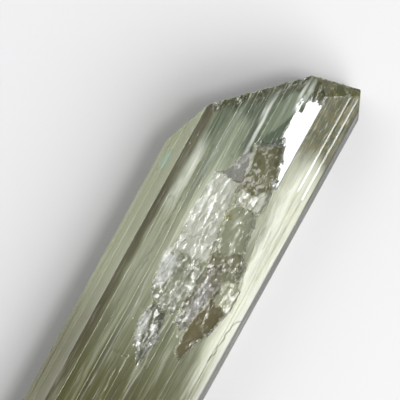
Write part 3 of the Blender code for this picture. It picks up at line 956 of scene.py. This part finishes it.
def zone_colour(place, x, y, streaks):
    """The crystal's colour by place: zones across it and along it, as it grew, lined lengthwise, with
    painted shade and a painted cream glow laid among them.
    """
    drift = place.noise(0.5, 2.0, stretch=(1.0, 0.35, 1.0)) - 0.5
    wave = x + drift * 0.8
    along = y + drift * 6.0
    colour = along.above(-9.0, 5.0).blend(OLIVE, GREY_GREEN)
    upper = along.above(14.0, 18.0) * wave.above(-5.2, -4.4) * (1 - wave.above(2.6, 3.4))
    colour = upper.blend(colour, SOFT_GREEN)
    mist = wave.within(-3.2, -1.8, 0.8) * along.within(13.0, 18.5, 2.5)
    colour = (mist * 0.9).blend(colour, MIST_GREEN)
    # Painted shade: a dark olive band along the main slope, ragged with the streaks.
    to_slope = x * 0.70 - y * 0.71 + (0.70 * 5.6 + 0.71 * 19.7)
    shade = (1 - (to_slope + streaks * 3.0).above(1.9, 2.9)) * x.above(-5.8, -5.5) * y.above(14.0, 16.0)
    colour = (shade * 0.8).blend(colour, SHADE_OLIVE)
    beside = wave.above(3.6, 4.1) * along.within(2.0, 17.0, 3.5)
    colour = beside.blend(colour, PALE_GREEN)
    # Painted light: a cream glow down the right bevel, lined by the streaks and fading towards both ends.
    lit = (wave + (streaks - 0.5) * 1.6 + along * 0.03).above(4.5, 5.5)
    lit = lit * along.above(-9.0, 4.0) * (1 - (along + streaks * 8.0).above(20.0, 25.0))
    colour = lit.blend(colour, GLOW_CREAM)
    # Painted shade: the right bevel near the tip and the strip above the tip facet in dark olive and brown,
    # with pale flecks laid over it.
    tip = x.above(3.75, 3.85) * (along + streaks * 6.0).above(21.0, 24.0)
    tip = tip.greatest(x.above(1.8, 2.6) * y.above(24.4, 25.4))
    colour = tip.blend(colour, place.noise(1.2, 2.0).above(0.4, 0.6).blend(SHADE_OLIVE, TIP_SHADE_BROWN))
    flecks = place.noise(4.5, 3.0, 0.7, (1.0, 0.16, 1.0)).above(0.56, 0.68)
    colour = (flecks * tip * 0.55).blend(colour, FLECK)
    left = 1 - x.above(-5.78, -5.70)
    colour = left.blend(colour, along.above(-8.0, 4.0).blend(OLIVE_GREEN, YELLOW_GREEN))
    # Painted shade: a narrow brown-olive band on the front beside the left bevel.
    colour = (wave.within(-6.5, -5.2, 0.6) * x.above(-5.78, -5.70) * 0.85).blend(colour, SHADE_BROWN_OLIVE)
    # Painted shade: the steep right side is dark grey.
    return x.above(6.85, 7.05).blend(colour, SIDE_SHADE_GREY)


def crystal_material():
    """Clear glassy spodumene mixed with silk and frost, laid out in millimetres of the crystal."""
    material, output, start = new_material("hiddenite")
    place = start.node("ShaderNodeTexCoord", outlet=3)
    place = place.node("ShaderNodeMapping", {}, {"Vector": place, "Scale": (1000, 1000, 1000)})
    x = place.node("ShaderNodeSeparateXYZ", {}, {0: place})
    y = place.node("ShaderNodeSeparateXYZ", {}, {0: place}, outlet=1)
    # The etched colour holds the frost, fibres and cracks, and painted glints, sheen and rim highlights.
    etched = start.node("ShaderNodeAttribute", {"attribute_name": "etched"})
    cover = start.node("ShaderNodeAttribute", {"attribute_name": "etched"}, outlet=3)
    cloudy = start.node("ShaderNodeAttribute", {"attribute_name": "cloudy"}, outlet=2)
    grainy = start.node("ShaderNodeAttribute", {"attribute_name": "grainy"}, outlet=2)
    streaks = place.noise(1.1, 4.0, stretch=(1.0, 0.05, 1.0))
    fine = place.noise(6.0, 3.0, stretch=(1.0, 0.04, 1.0))
    lines = streaks * 0.65 + fine * 0.35
    facets = place.cells(1.7, (1.0, 0.6, 1.0)) * 0.5 + place.cells(5.0, (1.0, 0.6, 1.0)) * 0.5
    grain = facets * 0.6 + place.noise(1.8, 6.0, 0.7) * 0.4
    colour = zone_colour(place, x, y, lines)
    calm = 0.28 - (1 - x.above(-5.8, -5.7)) * 0.18 - y.above(15.0, 18.0) * (1 - x.above(2.0, 3.0)) * 0.12
    colour = (lines.above(0.50, 0.70) * calm).blend(colour, PALE_LINE)
    colour = ((1 - lines.above(0.32, 0.50)) * calm).blend(colour, DARK_LINE)
    # Etched floors are grainy: pale cells, the brightest painted white as glints, and dark specks.
    light = (grain.above(0.52, 0.80) * grainy).blend(etched, GRAIN_AND_GLINT_WHITE)
    grained = ((1 - grain.above(0.22, 0.48)) * grainy * 0.75).blend(light, DARK_GRAIN)
    colour = cover.blend(colour, grained)
    silk = (0.66 + lines.above(0.40, 0.65) * 0.22).greatest(x.above(6.8, 7.0) * 0.95)
    silk = silk.greatest((1 - x.above(-5.8, -5.7)) * 0.90)
    silk = silk.greatest(x.above(3.7, 3.9) * y.above(18.0, 21.0) * 0.88)
    cloud = cover * cloudy + (1 - cover) * silk
    height = fine * (1 - cover) * 0.35 + grain * grainy * 0.6
    bump = start.node("ShaderNodeBump", {}, {"Height": height, "Strength": 0.35, "Distance": 0.0001})
    glass = start.node("ShaderNodeBsdfPrincipled", {}, {
        "Base Color": CLEAR, "Roughness": 0.03, "IOR": IOR, "Transmission Weight": 1.0, "Normal": bump})
    body = start.node("ShaderNodeBsdfPrincipled", {}, {
        "Base Color": colour, "Roughness": 0.18, "IOR": IOR, "Specular IOR Level": 0.3,
        "Subsurface Weight": 0.6, "Subsurface Radius": (1.0, 1.0, 0.6), "Subsurface Scale": 0.0012,
        "Normal": bump})
    both = start.node("ShaderNodeMixShader", {}, {0: cloud, 1: glass, 2: body})
    shadow = start.node("ShaderNodeLightPath", outlet=1)
    let_through = start.node("ShaderNodeBsdfTransparent", {}, {"Color": SHADOW_TINT})
    surface = start.node("ShaderNodeMixShader", {}, {0: shadow, 1: both, 2: let_through})
    absorb = start.node("ShaderNodeVolumeAbsorption", {}, {"Color": DEPTH_TINT, "Density": DEPTH_DENSITY})
    material.node_tree.links.new(surface.socket, output.inputs["Surface"])
    material.node_tree.links.new(absorb.socket, output.inputs["Volume"])
    return material


crystal.data.materials.append(crystal_material())


# The floor is a plain pale sheet. A big soft lamp stands to the right, a weaker one to the
# left, and a small one nearly overhead, where the facet beside the tip throws it back at the
# camera. Each lamp has its place, size and power.
FLOOR_SIZE = 1.2
FLOOR_GREY = (0.70, 0.70, 0.71, 1.0)
LAMPS = {
    "main_lamp": ((0.40, -0.05, 0.42), 0.60, 4.0),
    "fill_lamp": ((-0.45, 0.20, 0.35), 0.60, 1.5),
    "facet_lamp": ((0.117, 0.03, 0.50), 0.10, 0.7),
}
SKY_STRENGTH = 0.22


def make_floor():
    """A flat square just under the crystal."""
    half = FLOOR_SIZE / 2
    mesh = bpy.data.meshes.new("floor")
    corners = [(-half, -half, 0.0), (half, -half, 0.0), (half, half, 0.0), (-half, half, 0.0)]
    mesh.from_pydata(corners, [], [(0, 1, 2, 3)])
    floor = bpy.data.objects.new("floor", mesh)
    floor.location = (0.0, 0.0, -0.00002)
    bpy.context.scene.collection.objects.link(floor)
    material, output, start = new_material("floor")
    inputs = {"Base Color": FLOOR_GREY, "Roughness": 0.8}
    shader = start.node("ShaderNodeBsdfPrincipled", {}, inputs)
    material.node_tree.links.new(shader.socket, output.inputs["Surface"])
    mesh.materials.append(material)
    return floor


make_floor()


def add_lamp(name, place, size, power):
    """A square soft lamp that faces the crystal."""
    data = bpy.data.lights.new(name, "AREA")
    data.size = size
    data.energy = power
    lamp = bpy.data.objects.new(name, data)
    lamp.location = place
    lamp.rotation_euler = (-Vector(place)).to_track_quat("-Z", "Y").to_euler()
    bpy.context.scene.collection.objects.link(lamp)


for name, (place, size, power) in LAMPS.items():
    add_lamp(name, place, size, power)

world = bpy.data.worlds.new("studio")
world.use_nodes = True
world.node_tree.nodes["Background"].inputs["Color"].default_value = (1.0, 1.0, 1.0, 1.0)
world.node_tree.nodes["Background"].inputs["Strength"].default_value = SKY_STRENGTH
bpy.context.scene.world = world
bpy.context.scene.view_settings.view_transform = "Standard"
